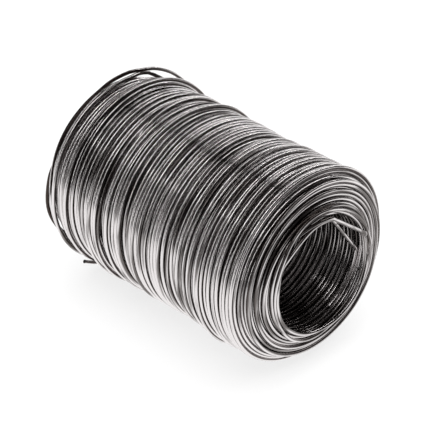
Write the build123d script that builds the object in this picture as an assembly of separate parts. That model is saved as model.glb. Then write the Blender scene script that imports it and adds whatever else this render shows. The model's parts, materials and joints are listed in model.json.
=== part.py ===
# Coil of bare steel tie wire, wound in layers on a mandrel that has been drawn out.
# The coil lies on its side: its axis runs along X, its lowest turns lie on the plane Z = 0,
# and the origin is midway between its ends. The wire's inner end crosses the mouth at the
# +X end. The last turns have slipped and stand clear of the rounded shoulder at the -X end.
# Angles round the axis are in degrees, from +Y towards +Z.
import math
import os

from build123d import *

# The wire, and the bore that it was wound on, in millimetres
wire_diameter = 1.4
bore_diameter = 42.5
layer_count = 11
# Height that each layer adds: its turns lie in the grooves of the layer below
layer_rise = 1.35
# Width of the winding between its shoulders, from middle to middle of the end turns
shoulder_width = 92.0
# How far the inner layers stand out past the shoulders, at the +X and the -X end
near_crown = 6.0
far_crown = 3.5
# How far the outermost layer stops short of the -X shoulder
far_slip = 5.0
# The outer turns are piled up in a band at each end, which stand this far above the middle
band_height = 0.7
near_band_width = 13.0
far_band_width = 18.0

# The last whole turn hangs off the shoulder on one side and stands clear on the other
slipped_turn_inset = 0.0
slipped_turn_lean = 2.0
slipped_turn_side = 135
slipped_turn_shift = 1.6
slipped_turn_clear_side = 45
# Arcs that stand off the winding: the direction of the middle, and the angle to the ends
raised_turn_gap = 0.5
raised_turn_inset = 1.5
raised_turn_side = 85
raised_turn_reach = 50
end_bulge_gap = 1.4
end_bulge_side = 185
end_bulge_reach = 36
low_loop_gap = 0.5
low_loop_inset = 2.5
low_loop_side = 222
low_loop_reach = 36
# The wire's cut outer end, which lifts off the band
outer_end_gap = 0.6
outer_end_inset = 10.0
outer_end_side = 219
outer_end_reach = 35
# The inner end crosses a corner of the mouth in a straight line and hooks over its rim
mouth_hook_side = 18
mouth_hook_reach = 16
mouth_chord_angle = 64
mouth_lead_angle = 14
mouth_chord_rise = 1.2
kink_radius = 1.4

wire_radius = wire_diameter / 2
bore_radius = bore_diameter / 2
inner_layer_radius = bore_radius + wire_radius
outer_layer_radius = inner_layer_radius + (layer_count - 1) * layer_rise
outer_radius = outer_layer_radius + wire_radius
middle_radius = outer_radius - band_height
half_width = shoulder_width / 2
near_rim = half_width + near_crown
far_rim = half_width + far_crown
# Half the flat that stands for the crown of a round turn; at the -X end it is a plain ridge
crown_flat = wire_radius * math.tan(math.radians(22.5))
# How sharply the slip grows towards the outermost layer
slip_power = 8


def layer_radius(layer):
    """Radius of the wire's middle in a layer, counted outwards from 0."""
    return inner_layer_radius + layer * layer_rise


def layer_end(layer, crown, slip):
    """Where a layer's end turn stands: the ends are domed, highest beside the bore."""
    share = layer / (layer_count - 1)
    return half_width + crown * (1 - share**2) - slip * share**slip_power


def end_outline(crown, slip, flat):
    """From the bore to the shoulder: a crown for each layer's end turn, grooves between."""
    points = [(layer_end(0, crown, slip), bore_radius)]
    for layer in range(layer_count):
        place, radius = layer_end(layer, crown, slip), layer_radius(layer)
        points.append((place + wire_radius, radius - flat))
        if flat:
            points.append((place + wire_radius, radius + flat))
        if layer < layer_count - 1:
            between = (place + layer_end(layer + 1, crown, slip)) / 2
            points.append((between + wire_radius / 2, radius + layer_rise / 2))
    return points


def outside_outline():
    """From shoulder to shoulder: a band at each end, each a wire's width from flat to flat."""
    near_step = half_width - near_band_width
    far_step = far_band_width - half_width
    return [
        (half_width, outer_radius),
        (near_step, outer_radius),
        (near_step - wire_diameter, middle_radius),
        (far_step + wire_diameter, middle_radius),
        (far_step, outer_radius),
        (far_slip - half_width, outer_radius),
    ]


def wound_turns():
    """The whole winding as one turned solid with its bore."""
    near_end = end_outline(near_crown, 0, crown_flat)
    far_end = [(-place, radius) for place, radius in end_outline(far_crown, far_slip, 0)]
    outline = near_end + outside_outline() + far_end[::-1]
    return revolve(make_face(Polyline(*outline, close=True)), Axis.X, 360)


def wire_section():
    """The wire's section, with six flats for its round."""
    return RegularPolygon(wire_radius, 6, major_radius=False)


def ring(place, radius, first=0, sweep_angle=360):
    """A turn of the wire round the axis, or an arc of one from the first angle on."""
    section = Plane(origin=(0, radius, 0), x_dir=(1, 0, 0), z_dir=(0, 0, 1)) * wire_section()
    return Pos(place, 0, 0) * revolve(section, Axis.X, sweep_angle).rotate(Axis.X, first)


def slipped_turn():
    """The turn that has slipped off the -X shoulder on one side and stands clear on the other."""
    tilt = math.degrees(math.asin(slipped_turn_lean / outer_layer_radius))
    leaning = ring(0, outer_layer_radius).rotate(Axis.Z, tilt).rotate(Axis.X, slipped_turn_side)
    turn = math.radians(slipped_turn_clear_side)
    shift = (slipped_turn_shift * math.cos(turn), slipped_turn_shift * math.sin(turn))
    return Pos(slipped_turn_inset - half_width, *shift) * leaning


def loose_arc(seat, stand_off, rise, towards, reach, start=None):
    """An arc of a loose turn, seated in the winding where it ends.

    Seat is (distance from the middle towards -X, radius). The arc's middle points in the
    direction towards. There it stands off the seat along -X, and rises outwards. Reach is
    the angle from its middle to its ends; start cuts it short.
    """
    spread = 1 - math.cos(math.radians(reach))
    lean, shift = stand_off / spread, rise / spread
    radius = seat[1] + rise - shift
    first = -reach if start is None else start
    tilt = math.degrees(math.asin(lean / radius))
    arc = ring(0, radius, first, reach - first).rotate(Axis.Z, tilt)
    return (Pos(lean - stand_off - seat[0], shift, 0) * arc).rotate(Axis.X, towards)


def raised_turn():
    """The turn beside it, which stands up over the top."""
    seat = (half_width - raised_turn_inset, outer_layer_radius - layer_rise)
    return loose_arc(seat, 0, wire_diameter + raised_turn_gap, raised_turn_side, raised_turn_reach)


def end_bulge():
    """The turn that bulges out of the -X end, halfway up the side."""
    seat = (half_width + wire_radius, outer_layer_radius - layer_rise)
    return loose_arc(seat, end_bulge_gap + wire_radius, 0, end_bulge_side, end_bulge_reach)


def low_loop():
    """The turn that hangs clear of the side, low down near the -X end."""
    seat = (half_width - low_loop_inset, outer_layer_radius - layer_rise)
    return loose_arc(seat, 0, wire_diameter + low_loop_gap, low_loop_side, low_loop_reach)


def outer_end():
    """The cut outer end of the wire, lifting off the band."""
    seat = (half_width - outer_end_inset, outer_layer_radius)
    rise = wire_diameter + outer_end_gap
    return loose_arc(seat, 0, rise, outer_end_side, outer_end_reach, start=0)


def on_mouth(angle, radius, out):
    """A point at the +X mouth, at this distance out of the rim."""
    turn = math.radians(angle)
    return (near_rim + out, radius * math.cos(turn), radius * math.sin(turn))


def inner_end():
    """The inner end of the wire: straight across a corner of the mouth, then hooked over the rim."""
    lip = inner_layer_radius
    chord_start = mouth_hook_side + mouth_chord_angle
    route = [
        on_mouth(chord_start + mouth_lead_angle, lip, -wire_radius),
        on_mouth(chord_start, lip, mouth_chord_rise),
        on_mouth(mouth_hook_side, lip + wire_radius, wire_radius),
        on_mouth(mouth_hook_side - mouth_hook_reach, lip, -wire_radius),
    ]
    path = FilletPolyline(*route, radius=kink_radius)
    section = Plane(origin=path @ 0, z_dir=path % 0) * wire_section()
    return sweep(section, path=path)


def wire_coil():
    """The winding with its loose turns and ends, moved so that it lies on Z = 0."""
    loose = [slipped_turn(), raised_turn(), end_bulge(), low_loop(), outer_end(), inner_end()]
    coil = wound_turns()
    for piece in loose:
        coil = coil + piece
    middle = (near_rim + mouth_chord_rise - far_rim) / 2
    return Pos(-middle, 0, outer_radius) * coil


os.makedirs("parts", exist_ok=True)
coil = wire_coil()
print("wire_coil", len(coil.solids()), "solid", round(coil.volume), coil.bounding_box())
export_step(coil, "parts/wire_coil.step")
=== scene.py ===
# Looks of a coil of bare steel tie wire, wound turn by turn on the frame's bore.
import json
import math

import bmesh
import bpy
import numpy as np
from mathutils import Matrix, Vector


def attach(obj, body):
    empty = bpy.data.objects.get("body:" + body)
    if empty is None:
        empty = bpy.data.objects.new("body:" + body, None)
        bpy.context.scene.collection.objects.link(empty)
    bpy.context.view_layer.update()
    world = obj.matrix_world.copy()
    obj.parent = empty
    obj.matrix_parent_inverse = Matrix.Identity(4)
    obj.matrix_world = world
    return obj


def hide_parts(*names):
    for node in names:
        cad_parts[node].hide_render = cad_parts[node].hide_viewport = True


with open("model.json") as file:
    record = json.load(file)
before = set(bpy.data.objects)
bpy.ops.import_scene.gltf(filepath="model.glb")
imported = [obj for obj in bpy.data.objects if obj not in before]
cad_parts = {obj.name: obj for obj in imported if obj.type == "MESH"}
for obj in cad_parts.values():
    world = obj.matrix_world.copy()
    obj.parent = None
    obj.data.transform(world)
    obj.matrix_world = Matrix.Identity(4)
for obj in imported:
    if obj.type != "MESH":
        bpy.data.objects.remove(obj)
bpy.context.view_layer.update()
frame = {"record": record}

# Sizes in millimetres; pieces are made in metres
MM = 0.001
wire = 1.4
layers = 11
layer_width = 92.0
near_crown = 6.0
far_crown = 3.5
far_slip = 7.5
# The middle of the winding, halfway between its shoulders
winding_middle = -1.85
# Where the wire's inner end joins the first layer
inner_end_place = 50.6
# The side on which each layer starts: where the inner end goes down into the bore
layer_start = -20
# The last turns lie back over the outer layer, from this place on and this far apart
band_start = -41.6
band_pitches = (1.55, 1.9, 1.45, 1.6)
# The last turn ends on this side, where the cut end of the wire points away from the coil
outer_end_side = 219

bore = frame["record"]["mounts"][0]
bore_radius = bore["dims"]["r_mm"]
axis_height = bore["pos_m"][2] / MM

half_width = layer_width / 2
first_layer_radius = bore_radius + wire / 2

# Points in one turn of the winding
STEPS = 96
QUARTER = STEPS // 4
# Sides of the round wires: of those that catch the eye, and of the others
many_sides, few_sides = 10, 8
rng = np.random.default_rng(11)

# Wires of crossing layers bed into each other, and those of one layer lie side by side. In a
# tight group, the guide leads them this far apart
bedded = wire * 0.975
beside = wire * 1.003
grouped = beside * 1.004
# How a layer is laid: the widest gap between groups of turns, how far the wire drifts from its
# path, and the most turns in a group before its last, where 1 means that it has no others
loose_laying = (1.8, 0.38, 3)
tight_laying = (0.3, 0.03, 8)
bore_laying = (1.3, 0.06, 1)
# The narrowest gap, as a share of the widest, and the turns over which the wire drifts
narrowest_gap = 0.1
drift_length = 0.8
band_drift = 0.3
# The layers nearest the outside are laid loosely
loose_layers = 3
# A turn that climbs over those beside it can rest on this many of them
ridden_turns = 4
# Rounds of evening out: for a stiff loose wire over the bumps below it, for a tight one, and
# for the seams between turns and layers
loose_evening = 22
tight_evening = 3
seam_evening = 24
# A turn slides down the slopes below it in this many rounds, this far in each and this far in
# all. It comes back to the guide's path over about this many steps
sliding_rounds = 10
slide = 0.05
furthest_slide = 0.35
return_steps = 16
# How many turns of each hidden layer are made at its ends
end_turns = 3
# The core that stands for the hidden turns gains this much radius with each layer, and reaches
# from the first of these layers to the second
core_rise = 1.28
core_layers = (1.7, layers - 4.9)


def layer_end(layer, crown, slip=0.0):
    """How far from the middle a layer's end turn stands: the ends are domed."""
    share = layer / (layers - 1)
    return half_width + crown * (1 - share**2) - slip * share**8


def smoothed(values, rounds):
    """Evens out a run of values, keeping its ends."""
    for _ in range(rounds):
        inner = (values[:-2] + 2 * values[1:-1] + values[2:]) / 4
        values = np.concatenate([values[:1], inner, values[-1:]])
    return values


def wander(turns, size, length):
    """A smooth random drift of about this size, over this many turns, with a value for each step."""
    knots = max(int(turns / length) + 3, 4)
    steps = np.arange(int(turns * STEPS)) / STEPS
    drift = np.interp(steps, np.linspace(0, turns, knots), rng.normal(0, size, knots))
    window = np.hanning(int(length * STEPS) | 1)
    padded = np.pad(drift, len(window) // 2, mode="edge")
    return np.convolve(padded, window / window.sum(), mode="valid")[: len(steps)]


def smooth_rise(share):
    """From 0 to 1 with no corner at either end."""
    return share * share * (3 - 2 * share)


def path(pitches, drift):
    """How far the guide has gone at each step, with this pitch for each turn and this drift."""
    steps = np.arange(len(pitches) * STEPS) / STEPS
    travel = np.interp(steps, np.arange(len(pitches) + 1), np.concatenate([[0], np.cumsum(pitches)]))
    return travel + wander(len(pitches), drift, drift_length)


def guide(length, gap, drift, most):
    """The guide's path over a layer: tight groups of turns, then a gap."""
    pitches = []
    while sum(pitches) < length:
        group = int(rng.integers(min(most, 2), most + 1)) if most > 1 else 0
        pitches += [grouped] * group
        pitches.append(wire + rng.uniform(narrowest_gap, 1) * gap)
    while sum(pitches) > length:
        pitches.pop()
    return path(np.array(pitches) * length / sum(pitches), drift)


def supports(place, below_places, below_radii):
    """Radius at which a wire laid here rests on the turns below, and its slope along the axis."""
    least_square = 1e-4
    apart = place[None, :] - below_places
    rise = np.sqrt(np.clip(bedded**2 - apart**2, least_square, None))
    heights = np.where(np.abs(apart) < bedded, below_radii + rise, 0)
    top = heights.argmax(axis=0)
    column = np.arange(place.size)
    height = heights[top, column]
    slope = np.where(height > 0, -apart[top, column] / rise[top, column], 0)
    return np.maximum(height, first_layer_radius), slope


def pulled_tight(radii):
    """The shape of a taut wire over these heights: it bridges each dip in a straight line."""
    angle = np.arange(radii.size) * (2 * math.pi / STEPS)
    bend = radii.mean() * angle**2 / 2
    heights = radii - bend
    hull = []
    for i in range(radii.size):
        while len(hull) > 1:
            a, b = hull[-2], hull[-1]
            if (heights[b] - heights[a]) * (i - a) > (heights[i] - heights[a]) * (b - a):
                break
            hull.pop()
        hull.append(i)
    return np.interp(np.arange(radii.size), hull, heights[hull]) + bend


def once_round(rows):
    """The rows of a layer, with the start of each turn repeated after its end."""
    return np.hstack([rows, rows[:, :QUARTER]])


def lay(travel, first, sense, below, last_place, last_radii, loose=False):
    """Lays one layer over the turns below. Returns places and radii, with a row for each turn.

    The turns of a loose layer may ride over their neighbours. The others lie side by side, up
    to the last one, which climbs back over its neighbour and so begins the next layer.
    """
    turns = len(travel) // STEPS
    span = STEPS + QUARTER
    evening = loose_evening if loose else tight_evening
    travel = np.concatenate([travel, travel[-1] + np.arange(1, QUARTER + 1) * wire / STEPS])
    gone = np.zeros((turns, STEPS))
    radii = np.zeros((turns, STEPS))
    carry = 0 if last_place is None else sense * (last_place - first) - travel[0]
    for turn in range(turns):
        wanted = travel[turn * STEPS : turn * STEPS + span]
        wanted = wanted + carry * np.exp(-np.arange(span) / return_steps)
        row = wanted.copy()
        under = below
        rides = below and turn and (loose or turn == turns - 1)
        if rides:
            beneath = slice(max(turn - ridden_turns, 0), turn)
            own = once_round(first + sense * gone[beneath]), once_round(radii[beneath])
            under = tuple(np.vstack(pair) for pair in zip(below, own))
        for _ in range(sliding_rounds if below else 1):
            if below:
                _, slope = supports(first + sense * row, *under)
                row = row - slide * sense * np.clip(slope, -1, 1)
                row = np.clip(row, wanted - furthest_slide, wanted + furthest_slide)
            if turn and not rides:
                row[:STEPS] = np.maximum(row[:STEPS], gone[turn - 1] + beside)
                row[STEPS:] = np.maximum(row[STEPS:], row[:QUARTER] + beside)
            row = smoothed(row, evening)
        gone[turn] = row[:STEPS]
        if below:
            height, _ = supports(first + sense * row, *under)
            start = radii[turn - 1, -QUARTER:] if turn else last_radii
            taut = pulled_tight(np.concatenate([start, height]))
            radii[turn] = smoothed(taut, evening)[QUARTER : QUARTER + STEPS]
        else:
            radii[turn] = first_layer_radius
        if turn + 1 < turns:
            carry = row[STEPS] - travel[(turn + 1) * STEPS]
    return first + sense * gone, radii


def swell(place):
    """How much thicker or thinner the winding has grown here, in millimetres on the radius."""
    # The place, size and spread of each thick or thin stretch
    bumps = ((-27, -0.8, 4), (-13, 0.3, 3), (17, -0.4, 5), (31, 0.5, 5), (45, 0.7, 4))
    return sum(size * np.exp(-(((place - spot) / spread) ** 2)) for spot, size, spread in bumps)


# At the near end, the last turn of each second layer stands out this far, and the next layer
# starts this far in
end_stagger = (0.5, 1.3, 0.4, 1.2, -0.2)
# The guide turns back somewhere in this range before a layer ends, in turns
turning_back = (0.25, 0.9)


def wind():
    """Lays every layer in turn. Returns each layer's places along the axis and its radii."""
    wound = []
    below, last_place, last_radii = None, inner_end_place, None
    for layer in range(layers):
        towards_far = layer % 2 == 0
        near, far = layer_end(layer, near_crown), -layer_end(layer, far_crown, far_slip)
        sense = -1 if towards_far else 1
        if layer:
            near += sense * end_stagger[(layer - 1) // 2]
        first, last = (near, far) if towards_far else (far, near)
        loose = layer >= layers - loose_layers
        laying = loose_laying if loose else tight_laying if layer else bore_laying
        travel = guide(abs(last - first), *laying)
        back = int(rng.uniform(*turning_back) * STEPS)
        travel[-back:] -= wire * smooth_rise(np.linspace(0, 1, back))
        places, radii = lay(travel, first, sense, below, last_place, last_radii, loose)
        if layer == layers - loose_layers - 1:
            radii += swell(places)
        wound.append((places, radii))
        last_place, last_radii = places[-1, -1], radii[-1, -QUARTER:]
        below = (once_round(places), once_round(radii))
    return wound


def outer_band(last, below):
    """The last turns, laid back over the far end of the outer layer."""
    travel = path(band_pitches, band_drift)
    return lay(travel, band_start, 1, below, last[0][-1, -1], last[1][-1, -QUARTER:])


def to_row(place, radius, side):
    """A point of the winding, in the frame's metres. Side is in degrees from +Y towards +Z.

    The lowest turns bear on the floor.
    """
    turn = np.radians(side)
    x = (winding_middle + place) * MM
    y = radius * np.cos(turn) * MM
    z = np.maximum(axis_height + radius * np.sin(turn), wire / 2) * MM
    return np.stack(np.broadcast_arrays(x, y, z), axis=-1)


def strand(rows, last=None):
    """Points of the wire along a run of whole turns, or up to this many turns."""
    place, radius = (part.ravel() for part in rows)
    side = layer_start - 360 / STEPS * np.arange(place.size)
    kept = slice(0, None if last is None else round(last * STEPS) + 1)
    return to_row(place, radius, side)[kept]


def joined(*parts):
    """Runs of turns, one after the other."""
    return tuple(np.vstack([part[i] for part in parts]) for i in (0, 1))


def evened(rows):
    """A run with its seams between turns and layers evened out."""
    return tuple(smoothed(part.ravel(), seam_evening).reshape(part.shape) for part in rows)


def first_turns(rows):
    """The turns that a hidden layer shows where it starts."""
    return tuple(part[:end_turns] for part in rows)


def last_turns(rows):
    """The turns that a hidden layer shows where it stops."""
    return tuple(part[-end_turns:] for part in rows)


def eased(knots):
    """Points of a loose wire through knots of side, place and radius, with no corners."""
    side, place, radius = np.array(knots, dtype=float).T
    spots = np.arange(side[0], side[-1], 360 / STEPS)
    lines = []
    for values in (place, radius):
        slope = np.gradient(values, side)
        knot = np.clip(np.searchsorted(side, spots, side="right") - 1, 0, len(side) - 2)
        width = side[knot + 1] - side[knot]
        t = (spots - side[knot]) / width
        rise = values[knot + 1] - values[knot]
        line = values[knot] + smooth_rise(t) * rise
        line += width * t * (1 - t) * ((1 - t) * slope[knot] - t * slope[knot + 1])
        lines.append(line)
    return to_row(*lines, spots)


# A run longer than this is straight, and its kinks reach this far into it. Corners are cut in
# this many rounds
straight_length = 12.0
kink_reach = 1.6
cutting_rounds = 3


def bent(corners):
    """Points of a kinked wire: the corners are cut again and again, tightly beside a straight."""
    points = [corners[0]]
    for start, end in zip(corners, corners[1:]):
        ahead = end - start
        length = np.linalg.norm(ahead)
        if length > straight_length * MM:
            points += [start + ahead * kink_reach * MM / length, end - ahead * kink_reach * MM / length]
        points.append(end)
    corners = np.array(points)
    for _ in range(cutting_rounds):
        ahead = corners[1:] - corners[:-1]
        cut = np.stack([corners[:-1] + ahead / 4, corners[1:] - ahead / 4], axis=1).reshape(-1, 3)
        corners = np.vstack([corners[:1], cut, corners[-1:]])
    return corners


def wires(name, strands, sides=many_sides):
    """One mesh of round wires along the given lines of points, closed at their ends."""
    curve = bpy.data.curves.new(name, "CURVE")
    curve.dimensions = "3D"
    curve.bevel_depth = wire / 2 * MM
    curve.bevel_resolution = (sides - 4) // 2
    curve.use_fill_caps = True
    for points in strands:
        spline = curve.splines.new("POLY")
        spline.points.add(len(points) - 1)
        flat = np.ones((len(points), 4))
        flat[:, :3] = points
        spline.points.foreach_set("co", flat.ravel())
    holder = bpy.data.objects.new(name + "_line", curve)
    mesh = bpy.data.meshes.new_from_object(holder)
    bpy.data.objects.remove(holder)
    mesh.name = name
    mesh.polygons.foreach_set("use_smooth", [True] * len(mesh.polygons))
    piece = bpy.data.objects.new(name, mesh)
    bpy.context.scene.collection.objects.link(piece)
    return piece


def hidden_turns():
    """A turned solid in place of the turns that nothing shows."""
    depth = (end_turns - 1) * wire
    outline = []
    for crown, slip, sense in ((near_crown, 0, 1), (far_crown, far_slip, -1)):
        edge = []
        for layer in range(1, layers - loose_layers):
            radius = first_layer_radius + core_rise * np.clip(layer, *core_layers)
            edge.append((sense * (layer_end(layer, crown, slip) - depth), radius))
        outline += edge if sense > 0 else edge[::-1]
    form = bmesh.new()
    corners = [form.verts.new(to_row(place, radius, 0.0)) for place, radius in outline]
    face = form.faces.new(corners)
    bmesh.ops.spin(
        form,
        geom=[face],
        cent=(0, 0, axis_height * MM),
        axis=(1, 0, 0),
        dvec=(0, 0, 0),
        angle=2 * math.pi,
        steps=STEPS,
        use_merge=True,
    )
    bmesh.ops.delete(form, geom=[face], context="FACES_ONLY")
    bmesh.ops.recalc_face_normals(form, faces=form.faces)
    mesh = bpy.data.meshes.new("hidden_turns")
    form.to_mesh(mesh)
    form.free()
    piece = bpy.data.objects.new("hidden_turns", mesh)
    bpy.context.scene.collection.objects.link(piece)
    return piece


def new_material(name):
    """A material, its shader, and functions that give it a node, a sum and an eased step."""
    material = bpy.data.materials.new(name)
    material.use_nodes = True
    tree = material.node_tree

    def part(kind, **sockets):
        node = tree.nodes.new(kind)
        for name, value in sockets.items():
            if name.startswith("to_"):
                tree.links.new(value, node.inputs[int(name[3:])])
            else:
                setattr(node, name, value)
        return node

    def math_part(operation, *values):
        node = part("ShaderNodeMath", operation=operation)
        for socket, value in zip(node.inputs, values):
            if isinstance(value, (int, float)):
                socket.default_value = value
            else:
                tree.links.new(value, socket)
        return node.outputs[0]

    def eased_step(value, low, high, from_value=0.0, to_value=1.0):
        node = part("ShaderNodeMapRange", interpolation_type="SMOOTHSTEP", to_0=value)
        for socket, number in zip(node.inputs[1:5], (low, high, from_value, to_value)):
            socket.default_value = number
        return node.outputs[0]

    return material, tree.nodes["Principled BSDF"], part, math_part, eased_step


# The coil's own surface turns from facing outwards to facing out of the end over this stretch, counted
# from the shoulder, and leans over by this much. The wires there get this much painted shade
end_stretch = (-2.0, 5.0)
end_lean = 2.5
end_painted_shade = 0.5
# How open the wires of the bore count, beside those of the outside: a painted shade makes the bore darker
bore_painted_openness = 0.47
# The colour goes from the painted shade between the turns to bare steel on their crests over this range of
# openness
painted_shade_range = (0.0, 0.6)
# Streaks: how many there are in a metre across them and how fast they change round a turn,
# and their share in how worn the metal is
streak_sizes = {"turn": (650, 1.2, 0.8), "streak": (1500, 2.5, 0.3), "patch": (90, 1.6, 0.4)}
# The range of wear, and how dark and how bright it makes the metal
wear_range = (0.54, 0.82)
shade_range = (0.3, 1.12)
# Colours from the painted shade brown between the turns, through oxide grey, to bare steel on their
# crests, and how bright the middle one comes
painted_shade_brown = (0.062, 0.049, 0.043, 1)
oxide_and_shade_grey = (0.2, 0.185, 0.18, 1)
bare_steel = (0.86, 0.825, 0.825, 1)
oxide_and_shade_point = 0.45
# Patches are smoother or rougher, and streaks are drawn into the surface
patch_range = (0.35, 0.65)
roughness_range = (0.15, 0.23)
streak_strength = 0.012
streak_depth = 0.00005


def wire_finish():
    """Bare annealed steel with random streaks of wear, and a painted shade between the turns, in the bore
    and at the coil's ends.
    """
    finish, shader, part, math_part, eased_step = new_material("annealed_wire")
    links = finish.node_tree.links

    def vector_part(operation, output, *vectors):
        node = part("ShaderNodeVectorMath", operation=operation)
        for socket, vector in zip(node.inputs, vectors):
            links.new(vector, socket)
        return node.outputs[output]

    # Places round the coil's axis: along it, out from it, and round it
    place = part("ShaderNodeTexCoord").outputs["Object"]
    along, across, height = part("ShaderNodeSeparateXYZ", to_0=place).outputs
    raised = math_part("SUBTRACT", height, axis_height * MM)
    spoke = part("ShaderNodeCombineXYZ", to_1=across, to_2=raised).outputs[0]
    outward = vector_part("NORMALIZE", "Vector", spoke)
    distance = vector_part("LENGTH", "Value", spoke)
    _, cosine, sine = part("ShaderNodeSeparateXYZ", to_0=outward).outputs

    # How open the surface lies: outwards, out of an end of the coil, or into the bore. Where it lies less
    # open, it gets a painted shade
    normal = part("ShaderNodeNewGeometry").outputs["Normal"]
    from_middle = math_part("SUBTRACT", along, winding_middle * MM)
    stretch = ((half_width + past_shoulder) * MM for past_shoulder in end_stretch)
    at_end = eased_step(math_part("ABSOLUTE", from_middle), *stretch)
    lean = math_part("MULTIPLY", math_part("SIGN", from_middle), math_part("MULTIPLY", at_end, end_lean))
    end_way = part("ShaderNodeCombineXYZ", to_0=lean).outputs[0]
    open_way = vector_part("NORMALIZE", "Vector", vector_part("ADD", "Vector", outward, end_way))
    facing = vector_part("DOT_PRODUCT", "Value", normal, open_way)
    inward = vector_part("DOT_PRODUCT", "Value", normal, outward)
    # The ends of the coil count as less open, which paints shade on them
    facing = math_part("SUBTRACT", facing, math_part("MULTIPLY", at_end, end_painted_shade))
    # Surfaces that face into the bore count as only partly open, which paints shade in the bore
    painted_openness = math_part("MAXIMUM", facing, math_part("MULTIPLY", inward, -bore_painted_openness))

    # Streaks run round with the turns, and each turn has its own shade
    streaks, worn = {}, 0.0
    for name, (fineness, swiftness, share) in streak_sizes.items():
        spot = [math_part("MULTIPLY", value, fineness) for value in (along, distance)]
        spot += [math_part("MULTIPLY", value, swiftness) for value in (cosine, sine)]
        spread = part("ShaderNodeCombineXYZ", to_0=spot[0], to_1=spot[1], to_2=spot[2]).outputs[0]
        noise = part("ShaderNodeTexNoise", noise_dimensions="4D", to_0=spread, to_1=spot[3])
        noise.inputs["Scale"].default_value = 1.0
        noise.inputs["Detail"].default_value = 2.0
        streaks[name] = noise.outputs["Fac"]
        worn = math_part("MULTIPLY_ADD", streaks[name], share, worn)
    shade = eased_step(worn, *wear_range, *shade_range)
    # Painted shade where the surface lies closed, times the random wear of each streak
    painted_shade_and_wear = math_part("MULTIPLY", eased_step(painted_openness, *painted_shade_range), shade)

    colours = part("ShaderNodeValToRGB", to_0=painted_shade_and_wear)
    ramp = colours.color_ramp
    ramp.elements[0].color = painted_shade_brown
    ramp.elements[1].color = bare_steel
    ramp.elements.new(oxide_and_shade_point).color = oxide_and_shade_grey
    links.new(colours.outputs["Color"], shader.inputs["Base Color"])
    shader.inputs["Metallic"].default_value = 1.0

    roughness = eased_step(streaks["patch"], *patch_range, *roughness_range)
    links.new(roughness, shader.inputs["Roughness"])
    bump = part("ShaderNodeBump")
    bump.inputs["Strength"].default_value = streak_strength
    bump.inputs["Distance"].default_value = streak_depth
    links.new(streaks["streak"], bump.inputs["Height"])
    links.new(bump.outputs["Normal"], shader.inputs["Normal"])
    return finish


def dressed(piece, finish):
    """Gives a piece its finish and makes it part of the coil."""
    piece.data.materials.append(finish)
    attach(piece, "root")
    return piece


steel = wire_finish()
wound = wind()
inside = strand(evened(joined(wound[0], wound[1], first_turns(wound[2]))))
folds = [evened(joined(last_turns(wound[i]), first_turns(wound[i + 1]))) for i in range(2, layers - 5)]
far_turns = [strand(fold) for fold in folds[::2]]
near_turns = [strand(fold) for fold in folds[1::2]]
dressed(wires("far_end_turns", far_turns), steel)
dressed(wires("near_end_turns", near_turns), steel)
band = outer_band(wound[-1], tuple(once_round(part) for part in joined(wound[-2], wound[-1])))

# The first two layers are one run, and so are the last four with the band. They are cut into
# pieces, each of them this many turns past the end of a layer
inside_cut = 6
outside_cuts = (5, 13, 3)
mark = (len(wound[0][0]) + inside_cut) * STEPS
dressed(wires("bore_turns", [inside[: mark + 1]]), steel)
dressed(wires("beside_bore_turns", [inside[mark:]], few_sides), steel)
outside = evened(joined(last_turns(wound[-5]), *wound[-4:], band))
whole_turns = len(outside[0]) + (layer_start - outer_end_side) / 360

# The cut end is bent off the coil over its last steps, by this much sideways and outwards a step
bent_steps = 3
sideways, outwards = -0.1, 0.8
bend = np.clip(np.arange(outside[1].size) - round(whole_turns * STEPS) + bent_steps, 0, None)
bend = bend.reshape(outside[1].shape)
outside = strand((outside[0] + sideways * bend, outside[1] + outwards * bend), whole_turns)
layer_ends = end_turns + np.cumsum([len(places) for places, _ in wound[-4:-1]])
marks = [0, *(layer_ends + outside_cuts) * STEPS, len(outside) - 1]
for name, first, last in zip(("fourth", "third", "second", "outer"), marks, marks[1:]):
    sides = many_sides if name == "outer" else few_sides
    dressed(wires(name + "_turns", [outside[first : last + 1]], sides), steel)

# Loose turns at the far end: side, place along the axis and radius
slipped_turn = eased([
    (-60, -42.0, 33.0), (-45, -43.2, 34.8), (-30, -44.0, 36.2), (0, -44.4, 36.9), (40, -44.8, 37.2),
    (60, -44.9, 37.2), (70, -45.2, 37.0), (75, -45.6, 36.6), (82, -47.0, 36.0), (88, -48.0, 35.0),
    (96, -48.1, 34.6), (105, -47.9, 34.1), (117, -47.9, 34.0), (138, -47.9, 34.0), (151, -47.8, 33.8),
    (160, -47.6, 33.6), (170, -46.9, 34.0), (180, -46.2, 34.4), (200, -45.6, 34.7), (220, -45.4, 34.8),
    (240, -45.3, 34.6), (260, -45.0, 34.0), (280, -44.5, 33.0), (290, -44.0, 32.0),
])
raised_turn = eased([
    (-35, -41.5, 33.0), (-20, -42.2, 34.3), (20, -42.8, 34.4), (45, -43.2, 34.0), (58, -43.6, 34.0),
    (62, -44.1, 34.4), (66, -44.6, 34.9), (70, -45.3, 35.4), (76, -45.6, 35.3), (85, -45.1, 35.0),
    (93, -45.0, 35.0), (101, -44.5, 35.0), (117, -44.7, 35.0), (140, -44.4, 35.1), (170, -44.0, 35.2),
    (200, -43.6, 35.6), (214, -43.4, 35.8), (230, -43.5, 35.8), (245, -43.3, 35.3), (265, -43.0, 34.8),
    (285, -42.5, 33.5), (295, -42.0, 32.5),
])
bulging_turn = eased([
    (140, -46.0, 32.0), (150, -46.8, 33.0), (158, -47.7, 33.3), (165, -48.4, 33.6), (172, -48.6, 33.8),
    (178, -48.8, 33.9), (185, -49.1, 34.0), (193, -49.2, 34.0), (199, -48.7, 34.0), (205, -47.6, 33.9),
    (212, -46.8, 33.5), (222, -46.3, 33.0), (235, -45.5, 32.0),
])
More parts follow.
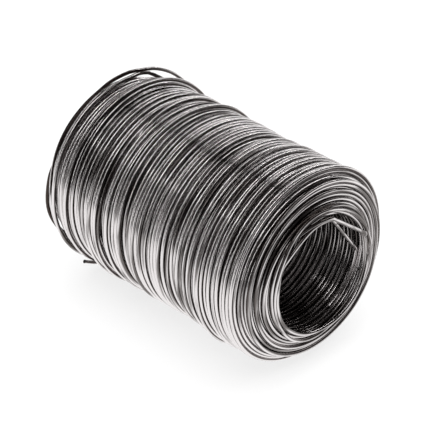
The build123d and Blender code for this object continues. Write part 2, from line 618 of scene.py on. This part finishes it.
tucked_turn = eased([
    (55, -43.0, 32.0), (68, -44.2, 33.0), (80, -45.6, 33.6), (96, -46.6, 34.0), (117, -46.6, 33.9),
    (140, -46.5, 33.7), (160, -46.2, 33.6), (175, -45.6, 33.5), (195, -44.8, 33.0), (210, -44.0, 32.0),
])
dressed(wires("loose_turns", [slipped_turn, raised_turn, bulging_turn, tucked_turn]), steel)

# The inner end crosses a corner of the mouth and hooks over the rim
crossing_end = bent(to_row(*np.array([
    (51.4, 21.9, 118), (52.2, 21.9, 104), (53.0, 21.9, 92), (53.4, 21.8, 82), (52.4, 22.7, 17),
    (51.0, 22.6, 8), (50.6, 22.1, -2), (50.6, 21.95, -12), (50.6, 21.95, -20),
]).T))
# A slack turn of the bore cuts the same corner, deeper in
slack_turn = bent(to_row(*np.array([
    (51.9, 23.6, 352), (52.6, 23.4, 340), (53.4, 23.0, 326), (53.8, 22.7, 310), (53.8, 22.5, 295),
    (53.6, 22.3, 280), (53.4, 22.1, 260), (53.2, 21.9, 240), (53.0, 21.7, 220), (52.9, 21.5, 205),
    (52.7, 21.3, 190), (52.6, 21.2, 180), (52.6, 21.2, 170), (51.6, 21.3, 152), (52.6, 21.2, 137),
    (52.9, 21.2, 122), (52.6, 21.2, 107), (52.7, 21.2, 94), (53.2, 21.2, 81), (49.3, 20.6, -2),
    (49.2, 20.6, -10), (49.0, 20.8, -20), (48.8, 21.1, -35), (48.4, 21.6, -50), (48.0, 22.2, -65),
]).T))
dressed(wires("inner_end", [crossing_end, slack_turn]), steel)

core = dressed(hidden_turns(), steel)
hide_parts("wire_coil")


floor_white = (0.9, 0.9, 0.9, 1)
# This share of what the camera sees of the floor is its own shine, and the rest takes the shadow
seen_shine = 0.78
# In front of the coil, the floor's reflection loses this much of its shine from the first of
# these distances to the second
front_way = (0.72, -0.69, 0)
fading_range = (0.1, 0.3)
shine_lost = 0.85


def floor():
    """A plain white floor, which shines white in the wire too, up to where the room in front is dark."""
    form = bmesh.new()
    bmesh.ops.create_grid(form, x_segments=1, y_segments=1, size=3.0)
    mesh = bpy.data.meshes.new("floor")
    form.to_mesh(mesh)
    form.free()
    piece = bpy.data.objects.new("floor", mesh)
    bpy.context.scene.collection.objects.link(piece)

    finish, shader, part, math_part, eased_step = new_material("floor_white")
    shader.inputs["Base Color"].default_value = floor_white
    shader.inputs["Roughness"].default_value = 0.9
    shader.inputs["Specular IOR Level"].default_value = 0.0
    place = part("ShaderNodeTexCoord").outputs["Object"]
    ahead = part("ShaderNodeVectorMath", operation="DOT_PRODUCT", to_0=place)
    ahead.inputs[1].default_value = front_way
    fading = eased_step(ahead.outputs["Value"], *fading_range, 0.0, -shine_lost)
    ray = part("ShaderNodeLightPath").outputs
    strength = math_part("MULTIPLY_ADD", ray["Is Glossy Ray"], fading, 1.0)
    shine = part("ShaderNodeEmission", to_1=strength).outputs[0]
    seen = math_part("MULTIPLY_ADD", ray["Is Camera Ray"], seen_shine, ray["Is Glossy Ray"])
    passed = ray["Is Transmission Ray"]
    plain = part("ShaderNodeMath", operation="ADD", use_clamp=True, to_0=seen, to_1=passed).outputs[0]
    mix = part("ShaderNodeMixShader", to_0=plain, to_1=shader.outputs[0], to_2=shine).outputs[0]
    output = finish.node_tree.nodes["Material Output"]
    finish.node_tree.links.new(mix, output.inputs["Surface"])
    piece.data.materials.append(finish)


def softbox(name, place, aim, size, power, shines=True):
    """A soft light, aimed at a point. The wire shows it only where it shines."""
    light = bpy.data.lights.new(name, "AREA")
    light.shape = "RECTANGLE"
    light.size, light.size_y = size
    light.energy = power
    lamp = bpy.data.objects.new(name, light)
    lamp.location = place
    lamp.rotation_euler = (Vector(place) - Vector(aim)).to_track_quat("Z", "Y").to_euler()
    lamp.visible_glossy = shines
    bpy.context.scene.collection.objects.link(lamp)


# The photograph's view: its angles in degrees, and its distance in metres
view_angles = (46, 33)
view_distance = 0.71
# In pixels of a square picture with this side: the focal length, and how far the view is shifted
picture_side = 430
focal_length = 2030
shift = (3, -2)
sensor_side = 36


def camera():
    """The photograph's view, of the middle of the winding."""
    azimuth, elevation = (math.radians(angle) for angle in view_angles)
    away = Vector((
        math.sin(azimuth) * math.cos(elevation),
        -math.cos(azimuth) * math.cos(elevation),
        math.sin(elevation),
    ))
    middle = Vector((winding_middle, 0, axis_height)) * MM
    lens = bpy.data.cameras.new("camera")
    lens.sensor_width = sensor_side
    lens.lens = focal_length * sensor_side / picture_side
    lens.shift_x, lens.shift_y = (pixels / picture_side for pixels in shift)
    lens.clip_start = 0.01
    view = bpy.data.objects.new("camera", lens)
    view.location = middle + away * view_distance
    view.rotation_euler = away.to_track_quat("Z", "Y").to_euler()
    bpy.context.scene.collection.objects.link(view)
    bpy.context.scene.camera = view


floor()
middle = (0, 0, 0.036)
strip = (0.14, 1.1)
softbox("ceiling", (0.0, 0.0, 1.6), middle, (2.4, 2.4), 60, shines=False)
# An arch of soft strips from the front over the top to the back
softbox("front_strip", (0.1, -0.9, 0.45), middle, strip, 1.3)
softbox("top_strip", (0.2, -0.3, 1.0), middle, strip, 2.15)
softbox("back_strip", (0.05, 0.65, 0.85), middle, strip, 2.15)
softbox("backdrop", (-0.7, 1.0, 0.3), middle, (1.6, 0.5), 2.4)
dark_room = (0.035, 0.033, 0.032, 1)
world = bpy.data.worlds.new("studio")
bpy.context.scene.world = world
world.use_nodes = True
world.node_tree.nodes["Background"].inputs["Color"].default_value = dark_room
camera()
bpy.context.scene.view_settings.view_transform = "Standard"
